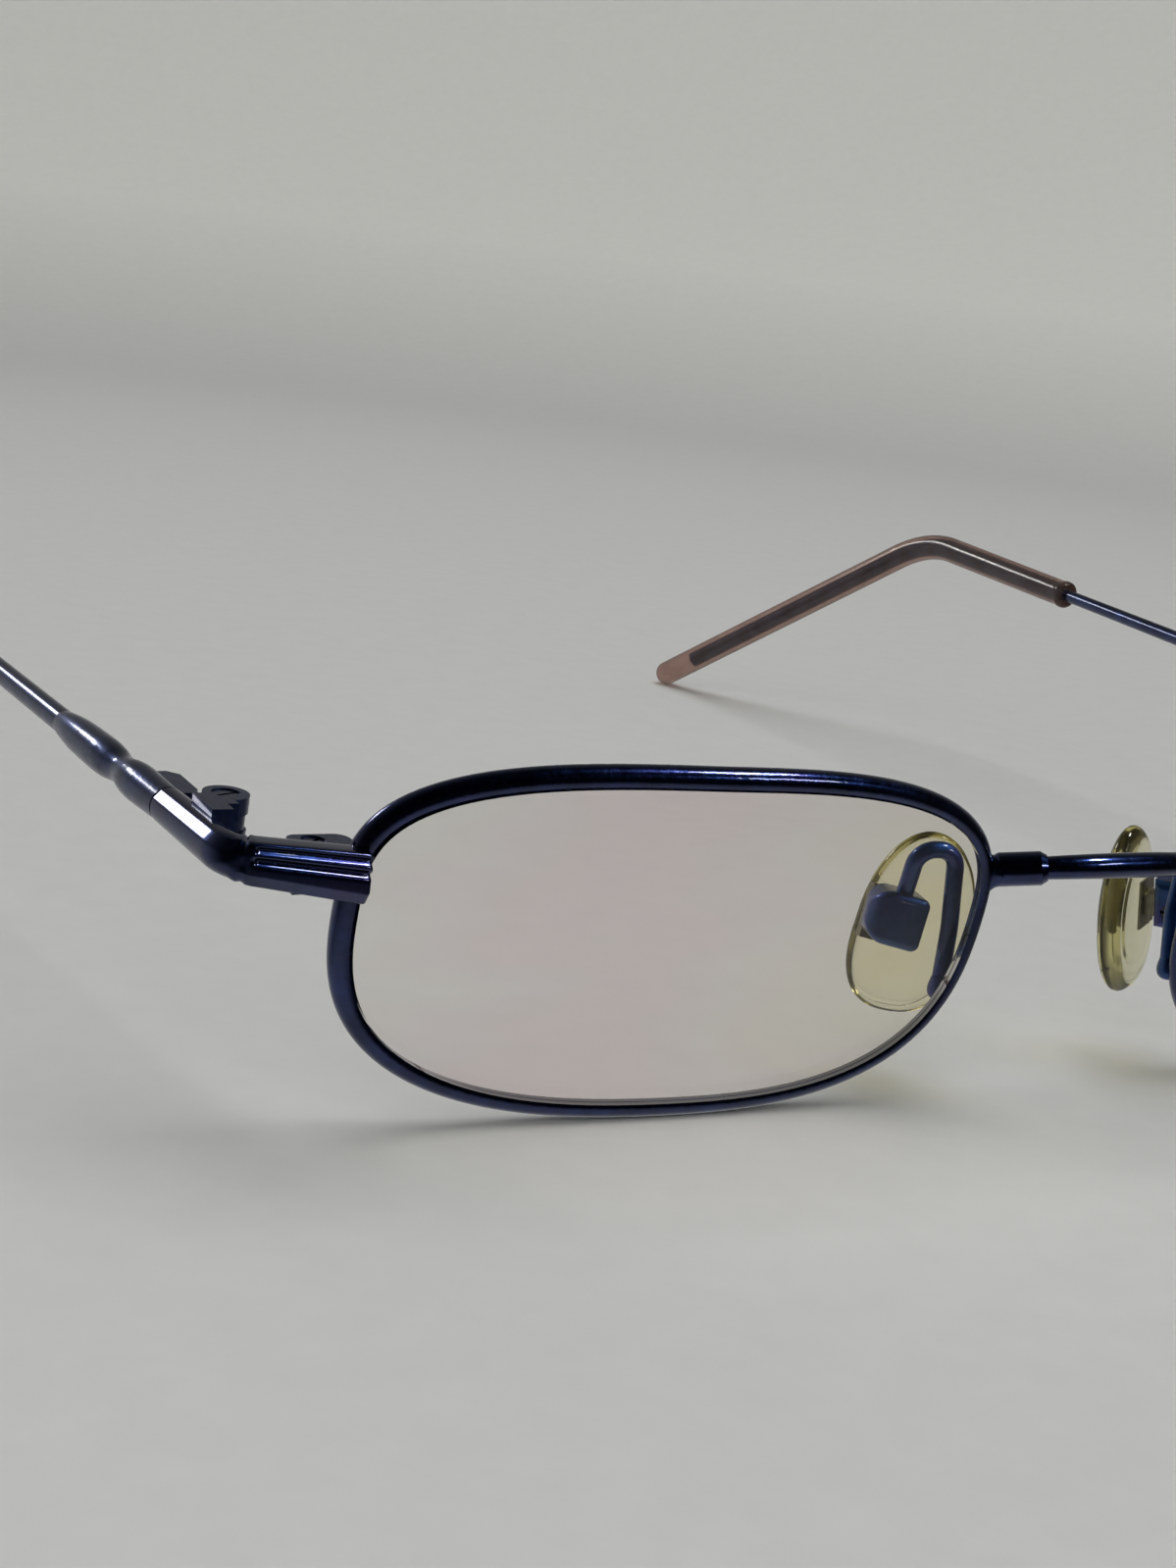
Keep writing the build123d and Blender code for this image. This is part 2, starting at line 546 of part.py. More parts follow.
def make_right_half(bar):
    """All pieces of the wearer's right half, by name."""
    rim = make_rim(GROOVE_DEPTH)
    solid_rim = make_rim(0)
    endpiece = make_endpiece(solid_rim)
    upper_block, lower_block = make_closing_blocks(solid_rim, endpiece)
    rod = make_rod()
    casting = make_casting(rod)
    insert = make_insert()
    arm = make_pad_arm(solid_rim)
    return {
        "rim": rim,
        "bridge_ferrule": make_ferrule(solid_rim, bar),
        "endpiece": endpiece,
        "closing_block_upper": upper_block,
        "closing_block_lower": lower_block,
        "rim_lock_screw": make_rim_lock_screw(),
        "hinge_front": make_hinge_front(endpiece),
        "hinge_screw": make_hinge_screw(),
        "hinge_temple": make_hinge_temple(casting),
        "temple_casting": casting,
        "temple_rod": rod,
        "temple_tip": make_tip(),
        "pad_arm": arm,
        "pad_box": make_pad_box(arm),
        "pad_screw": make_pad_screw(),
        "pad_insert": insert,
        "nose_pad": make_pad(insert),
    }


def stand_angle(rim, tip):
    """Angle about X that brings the lowest points of the rim and the tip level."""
    angle = 0
    for _ in range(4):
        low_rim = (Rot(angle, 0, 0) * rim).bounding_box().min.Z
        tilted_tip = (Rot(angle, 0, 0) * tip).bounding_box()
        reach = tilted_tip.max.Y - TIP_RADIUS
        angle += math.degrees(math.atan2(low_rim - tilted_tip.min.Z, reach))
    return angle


def make_all():
    """Every node of the pair in its resting frame, and the location that put it there."""
    bar = make_bridge_bar()
    nodes = {"bridge_bar": bar, "lens_right": make_lens(RIGHT), "lens_left": make_lens(LEFT)}
    for name, piece in make_right_half(bar).items():
        nodes[name + "_right"] = piece
        nodes[name + "_left"] = mirror(piece, about=Plane.YZ)
    tilt = Rot(stand_angle(nodes["rim_right"], nodes["temple_tip_right"]), 0, 0)
    boxes = [(tilt * piece).bounding_box() for piece in nodes.values()]
    low_y = min(box.min.Y for box in boxes)
    high_y = max(box.max.Y for box in boxes)
    low_z = min(box.min.Z for box in boxes)
    place = Pos(0, -(low_y + high_y) / 2, -low_z) * tilt
    return {name: place * piece for name, piece in nodes.items()}, place


NODES, PLACE = make_all()
os.makedirs("parts", exist_ok=True)
for node_name, node in NODES.items():
    export_step(node, f"parts/{node_name}.step")
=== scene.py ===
"""Looks for a pair of metal eyeglasses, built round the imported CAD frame. Metres, +Z up."""
import json
import math

import bmesh
import bpy
from mathutils import Matrix, Vector


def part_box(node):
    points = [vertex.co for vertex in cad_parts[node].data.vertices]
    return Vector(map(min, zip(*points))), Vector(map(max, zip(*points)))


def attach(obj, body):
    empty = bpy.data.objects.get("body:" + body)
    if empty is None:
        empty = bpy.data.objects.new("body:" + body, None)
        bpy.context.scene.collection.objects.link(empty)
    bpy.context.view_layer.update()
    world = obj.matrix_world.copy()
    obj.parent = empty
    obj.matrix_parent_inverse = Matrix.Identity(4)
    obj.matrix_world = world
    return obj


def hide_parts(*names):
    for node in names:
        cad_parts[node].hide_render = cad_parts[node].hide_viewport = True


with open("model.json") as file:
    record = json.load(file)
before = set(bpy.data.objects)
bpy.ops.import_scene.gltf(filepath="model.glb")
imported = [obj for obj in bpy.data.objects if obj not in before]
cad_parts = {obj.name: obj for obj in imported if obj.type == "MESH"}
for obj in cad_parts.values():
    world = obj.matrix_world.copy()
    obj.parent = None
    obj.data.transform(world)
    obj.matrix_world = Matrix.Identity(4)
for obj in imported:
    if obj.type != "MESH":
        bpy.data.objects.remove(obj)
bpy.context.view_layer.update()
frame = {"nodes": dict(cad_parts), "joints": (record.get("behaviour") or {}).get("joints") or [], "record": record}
NODES = frame["nodes"]
JOINTS = {joint["name"]: joint for joint in frame["joints"]}
MOUNTS = {mount["name"]: mount for mount in frame["record"]["mounts"]}
SIDES = {"right": -1, "left": 1}        # the wearer's sides, as signs of X
MM = 0.001

# Camera, placed from the middle of the bridge bar.
CAMERA_FROM_BRIDGE = Vector((-122.05, -124.82, 37.39)) * MM
CAMERA_YAW = 31.47                      # degrees from +Y towards +X
CAMERA_DOWN = 12.03
CAMERA_ROLL = 7.00
CAMERA_LENS = 55.70

# Tint of the lens coating from the nose outwards.
LENS_CAST = (
    (0.10, (0.965, 0.925, 0.835)),
    (0.38, (0.960, 0.900, 0.875)),
    (0.60, (0.965, 0.860, 0.855)),
    (0.80, (0.955, 0.890, 0.880)),
    (1.0, (0.965, 0.945, 0.905)),
)
STREAK_TURN = 0.9                       # smears on the lens run down towards the nose, radians

# Clear pieces: tints of the surface, absorbed colour with its density per metre, and shadow tint.
LENS_SHADOW = (0.96, 0.95, 0.93)
VINYL_TINTS = ((1.0, 0.97, 0.84), (1.0, 0.995, 0.93))
VINYL_ABSORBED = ((0.965, 0.91, 0.30), 125)
VINYL_SHADOW = (0.95, 0.90, 0.66)
TIP_TINTS = ((0.56, 0.40, 0.36), (0.74, 0.56, 0.48))
TIP_ABSORBED = ((0.55, 0.34, 0.26), 260)
TIP_SHADOW = (0.45, 0.33, 0.28)

# Metals: where lacquer is rubbed, and the nickel insert.
RUBBED_COLOUR = (0.050, 0.064, 0.115)
INSERT_TONES = ((0.26, 0.25, 0.22), (0.50, 0.48, 0.43))

# Lamps that light nothing and show only in reflections: name, place, size, power, and whether
# the clear pieces also let them through.
LAMPS = (
    ("lamp_behind", (-0.31, 0.66, 0.40), (0.20, 0.12), 0.8, False),
    ("lamp_over", (0.42, -0.30, 0.74), (0.16, 0.12), 1.8, True),
    ("lamp_right_front", (0.47, -0.70, 0.40), (0.20, 0.06), 0.7, False),
)

LAMP_TARGET = (-0.02, -0.07, 0.01)
LAMP_COLOUR = (1, 0.99, 0.97)

# Broad lights that reflections don't show: place, target, size, power and, for the top one, colour.
TOP_LIGHT = ((0.15, 0.10, 1.0), (0.05, 0.1, 0.0), (0.9, 0.9), 6.6, (0.99, 1.0, 1.0))
FLOOR_FILL = ((-0.30, -0.34, 0.32), (-0.22, -0.22, 0.0), (0.34, 0.34), 0.55)

# World that mirror rays see: (part of the way up or back, brightness).
WORLD_BY_HEIGHT = ((0.0, 0.32), (0.36, 0.34), (0.52, 0.32), (0.64, 0.16), (1.0, 0.07))
WORLD_BY_DEPTH = ((0.10, 0.03), (0.40, 0.08), (0.54, 0.26), (0.74, 0.85), (1.0, 1.0))
WORLD_STRAIGHT_DOWN = ((0.18, 1.0), (0.34, 0.0))

# Stage: a round bowl with a flat floor, so that every view has a plain background.
FLOOR_RADIUS = 0.64
BOWL_RADIUS = 0.42
WALL_TOP = 1.1
WALL_TONE_HEIGHT = 0.06                 # the board is lighter above this height
BOWL_STEPS = 16
STAGE_SEGMENTS = 96
FLOOR_TONES = ((0.60, 0.60, 0.592), (0.62, 0.62, 0.612))
WALL_TONES = ((0.80, 0.80, 0.765), (0.82, 0.82, 0.785))

# Endpiece: centre line from its nose end to the temple seam, in mm from the temple's axle
# (outwards, back, up), and the sizes of its block and stub.
ENDPIECE_PATH = ((-6.65, -7.50, -1.30), (2.12, -6.95, -0.17), (2.78, 2.47, 0.08))
ENDPIECE_BEND = 1.9
BLOCK_RUN = 8.05                        # from the nose end to the crease before the stub
BLOCK_DEPTHS = (1.05, 1.12)             # half sizes at the nose end and at the crease
BLOCK_HEIGHTS = (1.72, 1.40)
BLOCK_POWER = 5.5                       # outline exponents: 2 is an ellipse, more is squarer
STUB_POWER = 2.15
STUB_CHANGE = (0.5, 0.7)                # the block turns into the stub this far round the crease
STUB_SIZES = (1.34, 1.18)               # half thickness after the crease and at the seam
CREASE_DEPTH = 0.14
CREASE_WIDTH = 0.16
END_ROUND = 0.30
SEAM_ROUND = 0.12
RIB_END = 7.35
RIB_FADE = 0.4
GROOVE_PLACES = (0.35, 0.11)            # above the middle, as parts of the height
GROOVE_WIDTH = 0.22
GROOVE_DEPTH = 0.32
CHAMFER = (0.55, 0.8)                   # depth and height cut from the lower front edge
SHOULDER_CUT = 0.03                     # part of the stub's radius that its flat takes off
TURN_STEP = 0.4                         # how far ahead and behind the direction is taken
FINE_RUN = 0.9                          # stations are close together this far past the crease
STATION_STEPS = (6, 16, 44, 40, 5)      # end, ribs, crease, stub, seam
FRONT_POINTS = 72
BACK_POINTS = 40

# Braze fillets: rows of (distance from the end, half height, half depth) in mm.
FERRULE_BRAZE = ((-0.75, 1.75, 0.42), (-0.35, 1.62, 0.62), (0.0, 1.32, 0.92), (0.28, 1.14, 1.06),
                 (0.62, 1.13, 1.13), (0.95, 1.16, 1.16))
ARM_BRAZE = ((-0.45, 0.35, 0.30), (-0.30, 0.75, 0.62), (0.10, 0.98, 0.80), (0.60, 0.92, 0.78),
             (1.10, 0.72, 0.69), (1.50, 0.63, 0.63))
ROOT_HEIGHT = 1.0 * MM                  # height of the band of arm vertices that count as its root
ARM_UPRIGHT_X = 13.0 * MM               # the arm's upright part is nearer the nose than this
BRAZE_SEGMENTS = 32
BRAZE_RIPPLE = 0.03
AXIS_ROUNDS = 12                        # power-iteration rounds that find a node's long axis

# Nose pad: half sizes, and how far its two faces swell from its middle plane.
PAD_HALF_WIDTH = 4.5 * MM
PAD_HALF_LENGTH = 6.85 * MM
PAD_SKIN_SWELL = 1.28 * MM              # the face that rests on the nose
PAD_BACK_SWELL = 1.18 * MM
PAD_LEAN = {                            # how far the bottom leans out and the top leans in
    "right": (0.75 * MM, 0.20 * MM),
    "left": (1.05 * MM, 0.50 * MM),
}
PAD_TOP_POWER = 2.05
PAD_BOTTOM_POWER = 2.45
PAD_TOP_NARROWING = 0.05
PAD_EDGE_POWER = 6
PAD_SKIN_CROWN = (0.72, 0.28)           # share of the swell at the edge, and what the middle adds
PAD_BACK_CROWN = (0.92, -0.12)
PAD_SEGMENTS = 72
PAD_RINGS = 26
PAD_GROOVE_PLACE = 0.66                 # ring-shaped moulding line, as a part of the radius
PAD_GROOVE_WIDTH = 0.035
PAD_GROOVE_DEPTH = 0.10 * MM

# Temple tip: a moulded sleeve round the metal core.
TIP_RADIUS = 1.6 * MM
TIP_DROP = 49.3 * MM                    # from the bend to the very end
SLEEVE_RUN = 28.4 * MM                  # from the mouth of the sleeve to the bend
TEMPLE_SPLAY = 2.6                      # degrees outwards
TIP_BEND_RADIUS = 14.0 * MM
TIP_SEGMENTS = 40
TIP_MOUTH = (                           # beaded mouth: (distance along, radius) in mm
    (0.0, 0.62), (0.0, 1.15), (0.05, 1.40), (0.22, 1.55), (0.6, 1.58), (1.0, 1.50), (1.3, 1.46)
)
TIP_MOUTH_SHARE = 0.93                  # thickness at the mouth, as a part of the full one
TIP_GROWTH = (0.07, 0.04)               # what the end adds to it, in height and in width
TIP_END_STEPS = 8
TIP_END_REACH = 0.98
TIP_END_WIDTH = 0.97
TIP_END_SMALLEST = 0.004
CORNER_STEPS = (12, 20, 16)             # points before, round and after a rounded corner


# ---------------------------------------------------------------- camera, light and stage


def make_camera():
    """Camera at the viewing angle that the eyeglasses are matched from."""
    low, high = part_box("bridge_bar")
    data = bpy.data.cameras.new("camera")
    data.lens = CAMERA_LENS
    data.sensor_width = 36
    data.clip_start = 0.005
    camera = bpy.data.objects.new("camera", data)
    turn = Matrix.Rotation(math.radians(-CAMERA_YAW), 4, "Z")
    tilt = Matrix.Rotation(math.radians(90 - CAMERA_DOWN), 4, "X")
    roll = Matrix.Rotation(math.radians(CAMERA_ROLL), 4, "Z")
    place = Matrix.Translation((low + high) / 2 + CAMERA_FROM_BRIDGE)
    camera.matrix_world = place @ turn @ tilt @ roll
    bpy.context.scene.collection.objects.link(camera)
    bpy.context.scene.camera = camera


def area_light(name, place, target, size, power, colour=(1, 1, 1), mirrored=False):
    """Soft rectangular light facing a target. Only a mirrored light shows in reflections."""
    data = bpy.data.lights.new(name, "AREA")
    data.shape = "RECTANGLE"
    data.size, data.size_y = size
    data.energy = power
    data.color = colour
    light = bpy.data.objects.new(name, data)
    light.location = place
    light.rotation_mode = "QUATERNION"
    light.rotation_quaternion = (Vector(target) - Vector(place)).to_track_quat("-Z", "Y")
    light.visible_glossy = mirrored
    light.visible_transmission = False
    bpy.context.scene.collection.objects.link(light)
    return light


def make_lights():
    """Broad light from above, a floor fill, and lamps that only make the crisp highlights."""
    area_light("top", *TOP_LIGHT)
    area_light("floor_fill", *FLOOR_FILL)
    for name, place, size, power, sparkles in LAMPS:
        lamp = area_light(name, place, LAMP_TARGET, size, power, LAMP_COLOUR, True)
        lamp.visible_diffuse = False
        lamp.visible_camera = False
        lamp.visible_transmission = sparkles


def make_world():
    """Surroundings that mirror rays see: pale below and behind, dark in front and above."""
    world = bpy.data.worlds.new("studio")
    world.use_nodes = True
    tree = world.node_tree
    coords = tree.nodes.new("ShaderNodeTexCoord")
    parts = tree.nodes.new("ShaderNodeSeparateXYZ")
    tree.links.new(coords.outputs["Generated"], parts.inputs[0])
    height = maths(tree, "MULTIPLY_ADD", parts.outputs["Z"], 0.5, 0.5)
    depth = maths(tree, "MULTIPLY_ADD", parts.outputs["Y"], 0.5, 0.5)
    by_height = ramp(tree, height, WORLD_BY_HEIGHT)
    by_depth = ramp(tree, depth, WORLD_BY_DEPTH)
    by_depth = maths(tree, "MAXIMUM", by_depth, ramp(tree, height, WORLD_STRAIGHT_DOWN))
    shade = mix_colour(tree, by_depth, (0.0, 0.0, 0.0), by_height)
    background = tree.nodes["Background"]
    tree.links.new(shade, background.inputs["Color"])
    background.inputs["Strength"].default_value = 1.0
    bpy.context.scene.world = world
    bpy.context.scene.view_settings.view_transform = "Standard"


def make_stage():
    """Pale floor that curves up into a wall all round."""
    profile = [(0.0, 0.0), (FLOOR_RADIUS / 2, 0.0)]
    for i in range(BOWL_STEPS + 1):
        angle = math.pi / 2 * i / BOWL_STEPS
        outwards = FLOOR_RADIUS + BOWL_RADIUS * math.sin(angle)
        profile.append((outwards, BOWL_RADIUS * (1 - math.cos(angle))))
    profile.append((FLOOR_RADIUS + BOWL_RADIUS, WALL_TOP))
    stage = revolved("floor", profile, Matrix.Identity(4), STAGE_SEGMENTS)
    stage.data.materials.append(stage_material())


# ---------------------------------------------------------------- mesh helpers


def new_object(name, mesh_maker):
    """Smooth-shaded object from a bmesh that mesh_maker fills."""
    mesh = bpy.data.meshes.new(name)
    work = bmesh.new()
    mesh_maker(work)
    bmesh.ops.remove_doubles(work, verts=work.verts, dist=1e-7)
    bmesh.ops.recalc_face_normals(work, faces=work.faces)
    work.to_mesh(mesh)
    work.free()
    mesh.polygons.foreach_set("use_smooth", [True] * len(mesh.polygons))
    made = bpy.data.objects.new(name, mesh)
    bpy.context.scene.collection.objects.link(made)
    return made


def ring_faces(work, rings):
    """Quads between consecutive rings of vertices; a ring of one vertex closes with a fan."""
    for first, second in zip(rings, rings[1:]):
        count = max(len(first), len(second))
        for i in range(count):
            j = (i + 1) % count
            corners = [first[i % len(first)], first[j % len(first)]]
            corners += [second[j % len(second)], second[i % len(second)]]
            unique = list(dict.fromkeys(corners))
            if len(unique) > 2:
                work.faces.new(unique)


def revolved(name, profile, place, segments):
    """Surface of revolution about the place's Z axis from (radius, height) points."""

    def fill(work):
        rings = []
        for radius, height in profile:
            if radius < 1e-9:
                rings.append([work.verts.new(place @ Vector((0, 0, height)))])
                continue
            ring = []
            for i in range(segments):
                angle = 2 * math.pi * i / segments
                point = Vector((radius * math.cos(angle), radius * math.sin(angle), height))
                ring.append(work.verts.new(place @ point))
            rings.append(ring)
        ring_faces(work, rings)

    return new_object(name, fill)


def frame_matrix(origin, x_axis, z_axis):
    """Right-handed placement with the given origin, z axis and, as near as it can be, x axis."""
    z = z_axis.normalized()
    x = (x_axis - z * x_axis.dot(z)).normalized()
    y = z.cross(x)
    matrix = Matrix((x, y, z)).transposed().to_4x4()
    matrix.translation = origin
    return matrix


# ---------------------------------------------------------------- node helpers


def new_material(name):
    """Material with an empty Principled shader; returns it, its tree and the shader."""
    material = bpy.data.materials.new(name)
    material.use_nodes = True
    tree = material.node_tree
    return material, tree, tree.nodes["Principled BSDF"]


def object_coords(tree, stretch=(1, 1, 1), turn=0.0):
    """Object coordinates, which are metres in the row frame, stretched and turned about Y."""
    coords = tree.nodes.new("ShaderNodeTexCoord")
    mapping = tree.nodes.new("ShaderNodeMapping")
    mapping.inputs["Rotation"].default_value = (0, turn, 0)
    mapping.inputs["Scale"].default_value = stretch
    tree.links.new(coords.outputs["Object"], mapping.inputs["Vector"])
    return mapping.outputs["Vector"]


def noise(tree, coords, size, detail=3.0, roughness=0.55):
    """Noise whose features are about size metres across."""
    node = tree.nodes.new("ShaderNodeTexNoise")
    node.inputs["Scale"].default_value = 1 / size
    node.inputs["Detail"].default_value = detail
    node.inputs["Roughness"].default_value = roughness
    tree.links.new(coords, node.inputs["Vector"])
    return node.outputs["Fac"]


def ramp(tree, source, stops):
    """Colour ramp over (place, colour) stops; a colour may be a single grey number."""
    node = tree.nodes.new("ShaderNodeValToRGB")
    elements = node.color_ramp.elements
    while len(elements) < len(stops):
        elements.new(0.5)
    for element, (place, colour) in zip(elements, stops):
        element.position = place
        rgb = colour if isinstance(colour, tuple) else (colour, colour, colour)
        element.color = (*rgb, 1)
    tree.links.new(source, node.inputs["Fac"])
    return node.outputs["Color"]


def mix_colour(tree, factor, first, second):
    """Second colour over the first, by factor. Either may be a socket or a colour."""
    node = tree.nodes.new("ShaderNodeMix")
    node.data_type = "RGBA"
    tree.links.new(factor, node.inputs["Factor"])
    for socket, value in ((node.inputs[6], first), (node.inputs[7], second)):
        if isinstance(value, tuple):
            socket.default_value = (*value, 1)
        else:
            tree.links.new(value, socket)
    return node.outputs[2]


def maths(tree, operation, *values):
    """Math node on sockets or numbers."""
    node = tree.nodes.new("ShaderNodeMath")
    node.operation = operation
    for socket, value in zip(node.inputs, values):
        if isinstance(value, (int, float)):
            socket.default_value = value
        else:
            tree.links.new(value, socket)
    return node.outputs[0]


def bump(tree, shader, height, depth, strength):
    """Bump of a height between 0 and 1 with a depth in metres, into the shader's normal."""
    node = tree.nodes.new("ShaderNodeBump")
    node.inputs["Strength"].default_value = strength
    node.inputs["Distance"].default_value = depth
    tree.links.new(height, node.inputs["Height"])
    tree.links.new(node.outputs["Normal"], shader.inputs["Normal"])


def soft_shadow(tree, shader, tint):
    """Lets shadow rays through the whole surface, tinted."""
    output = tree.nodes["Material Output"]
    path = tree.nodes.new("ShaderNodeLightPath")
    clear = tree.nodes.new("ShaderNodeBsdfTransparent")
    clear.inputs["Color"].default_value = (*tint, 1)
    mixed = tree.nodes.new("ShaderNodeMixShader")
    tree.links.new(path.outputs["Is Shadow Ray"], mixed.inputs[0])
    tree.links.new(shader.outputs[0], mixed.inputs[1])
    tree.links.new(clear.outputs[0], mixed.inputs[2])
    tree.links.new(mixed.outputs[0], output.inputs["Surface"])


def absorb(tree, colour, density):
    """Tints light by the distance that it travels inside the piece."""
    node = tree.nodes.new("ShaderNodeVolumeAbsorption")
    node.inputs["Color"].default_value = (*colour, 1)
    node.inputs["Density"].default_value = density
    tree.links.new(node.outputs[0], tree.nodes["Material Output"].inputs["Volume"])


# ---------------------------------------------------------------- materials


def stage_material():
    """Pale matte board, a little lighter and warmer up the wall. Mirror rays pass to the world."""
    material, tree, shader = new_material("pale_board")
    shader.inputs["Roughness"].default_value = 0.75
    shader.inputs["Specular IOR Level"].default_value = 0.2
    coords = object_coords(tree)
    grain = noise(tree, coords, 0.004, 6)
    floor = ramp(tree, grain, [(0.3, FLOOR_TONES[0]), (0.7, FLOOR_TONES[1])])
    wall = ramp(tree, grain, [(0.3, WALL_TONES[0]), (0.7, WALL_TONES[1])])
    parts = tree.nodes.new("ShaderNodeSeparateXYZ")
    tree.links.new(coords, parts.inputs[0])
    height = maths(tree, "DIVIDE", parts.outputs["Z"], WALL_TONE_HEIGHT)
    rise = ramp(tree, height, [(0.0, 0.0), (1.0, 1.0)])
    tree.links.new(mix_colour(tree, rise, floor, wall), shader.inputs["Base Color"])
    path = tree.nodes.new("ShaderNodeLightPath")
    mirrored = maths(tree, "MINIMUM", path.outputs["Glossy Depth"], 1.0)
    clear = tree.nodes.new("ShaderNodeBsdfTransparent")
    mixed = tree.nodes.new("ShaderNodeMixShader")
    tree.links.new(mirrored, mixed.inputs[0])
    tree.links.new(shader.outputs[0], mixed.inputs[1])
    tree.links.new(clear.outputs[0], mixed.inputs[2])
    tree.links.new(mixed.outputs[0], tree.nodes["Material Output"].inputs["Surface"])
    return material


def lacquered_metal(name, dark, light, patch, roughness, wear, gloss=0.03):
    """Coloured lacquer over metal: drifting tint, orange peel, fine scratches and rubbed spots."""
    material, tree, shader = new_material(name)
    shader.inputs["Metallic"].default_value = 1.0
    shader.inputs["Coat Weight"].default_value = 1.0
    shader.inputs["Coat Roughness"].default_value = gloss
    shader.inputs["Coat IOR"].default_value = 1.5
    coords = object_coords(tree)
    drift = noise(tree, coords, 2.2 * MM, 4)
    colour = ramp(tree, drift, [(0.35, dark), (0.68, light)])
    patches = ramp(tree, noise(tree, coords, 5.5 * MM, 2), [(0.52, 0.0), (0.70, 1.0)])
    colour = mix_colour(tree, maths(tree, "MULTIPLY", patches, 0.7), colour, patch)
    rub_noise = noise(tree, object_coords(tree, (1, 0.25, 1)), 0.35 * MM, 5, 0.7)
    rubbed = ramp(tree, rub_noise, [(0.62 - 0.12 * wear, 0.0), (0.74 - 0.08 * wear, 1.0)])
    rubbed = maths(tree, "MULTIPLY", rubbed, 0.25 + 0.5 * wear)
    colour = mix_colour(tree, rubbed, colour, RUBBED_COLOUR)
    tree.links.new(colour, shader.inputs["Base Color"])
    rough_end = min(1.0, roughness + 0.12 + 0.2 * wear)
    shine = ramp(tree, rub_noise, [(0.3, roughness), (0.75, rough_end)])
    tree.links.new(shine, shader.inputs["Roughness"])
    peel = noise(tree, coords, 0.5 * MM, 2)
    scratches = noise(tree, object_coords(tree, (0.2, 1, 1.4)), 0.06 * MM, 2)
    peel = maths(tree, "MULTIPLY", peel, 0.8)
    height = maths(tree, "ADD", peel, maths(tree, "MULTIPLY", scratches, 0.2))
    bump(tree, shader, height, 0.012 * MM, 0.35 + 0.4 * wear)
    return material


def screw_material():
    """Lacquered steel screw heads with fine turning marks."""
    return lacquered_metal(
        "screw_steel_look",
        (0.030, 0.044, 0.100), (0.065, 0.086, 0.180), (0.048, 0.052, 0.140), 0.30, 0.8,
    )


def insert_material():
    """Dull nickel plate inside the pad."""
    material, tree, shader = new_material("insert_steel_look")
    shader.inputs["Metallic"].default_value = 1.0
    coords = object_coords(tree, (1, 1, 0.15))
    grain = noise(tree, coords, 0.12 * MM, 4)
    tone = ramp(tree, grain, [(0.3, INSERT_TONES[0]), (0.7, INSERT_TONES[1])])
    tree.links.new(tone, shader.inputs["Base Color"])
    tree.links.new(ramp(tree, grain, [(0.3, 0.28), (0.7, 0.5)]), shader.inputs["Roughness"])
    bump(tree, shader, grain, 0.01 * MM, 0.6)
    return material


def lens_material():
    """Clear coated lens with a faint warm and pink cast, smears and hairline scratches."""
    material, tree, shader = new_material("coated_lens_look")
    shader.inputs["Transmission Weight"].default_value = 1.0
    shader.inputs["IOR"].default_value = 1.5
    shader.inputs["Specular IOR Level"].default_value = 0.12
    coords = object_coords(tree)
    low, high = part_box("lens_right")
    parts = tree.nodes.new("ShaderNodeSeparateXYZ")
    tree.links.new(coords, parts.inputs[0])
    from_nose = maths(tree, "ABSOLUTE", parts.outputs["X"])
    span = maths(tree, "SUBTRACT", from_nose, -high.x)
    span = maths(tree, "DIVIDE", span, high.x - low.x)
    drift = noise(tree, object_coords(tree, (0.35, 1, 1.6), STREAK_TURN), 7 * MM, 3)
    cast = maths(tree, "MULTIPLY_ADD", drift, 0.8, maths(tree, "SUBTRACT", span, 0.40))
    tint = ramp(tree, cast, LENS_CAST)
    tree.links.new(tint, shader.inputs["Base Color"])
    smear = noise(tree, object_coords(tree, (0.3, 1, 1.5), STREAK_TURN), 5 * MM, 4, 0.6)
    tree.links.new(ramp(tree, smear, [(0.5, 0.0), (0.8, 0.012)]), shader.inputs["Roughness"])
    hairline = noise(tree, object_coords(tree, (0.08, 1, 1.2)), 0.5 * MM, 2)
    bump(tree, shader, ramp(tree, hairline, [(0.70, 0.0), (0.72, 1.0)]), 0.002 * MM, 0.2)
    soft_shadow(tree, shader, LENS_SHADOW)
    return material


def vinyl_material():
    """Clear vinyl, yellowed with age, with a faint bloom on its surface."""
    material, tree, shader = new_material("pad_vinyl_look")
    shader.inputs["Transmission Weight"].default_value = 1.0
    shader.inputs["IOR"].default_value = 1.47
    coords = object_coords(tree)
    blotch = noise(tree, coords, 2.5 * MM, 3)
    tint = ramp(tree, blotch, [(0.35, VINYL_TINTS[0]), (0.7, VINYL_TINTS[1])])
    tree.links.new(tint, shader.inputs["Base Color"])
    bloom = noise(tree, coords, 0.6 * MM, 4)
    tree.links.new(ramp(tree, bloom, [(0.35, 0.04), (0.7, 0.14)]), shader.inputs["Roughness"])
    bump(tree, shader, bloom, 0.012 * MM, 0.35)
    absorb(tree, *VINYL_ABSORBED)
    soft_shadow(tree, shader, VINYL_SHADOW)
    return material


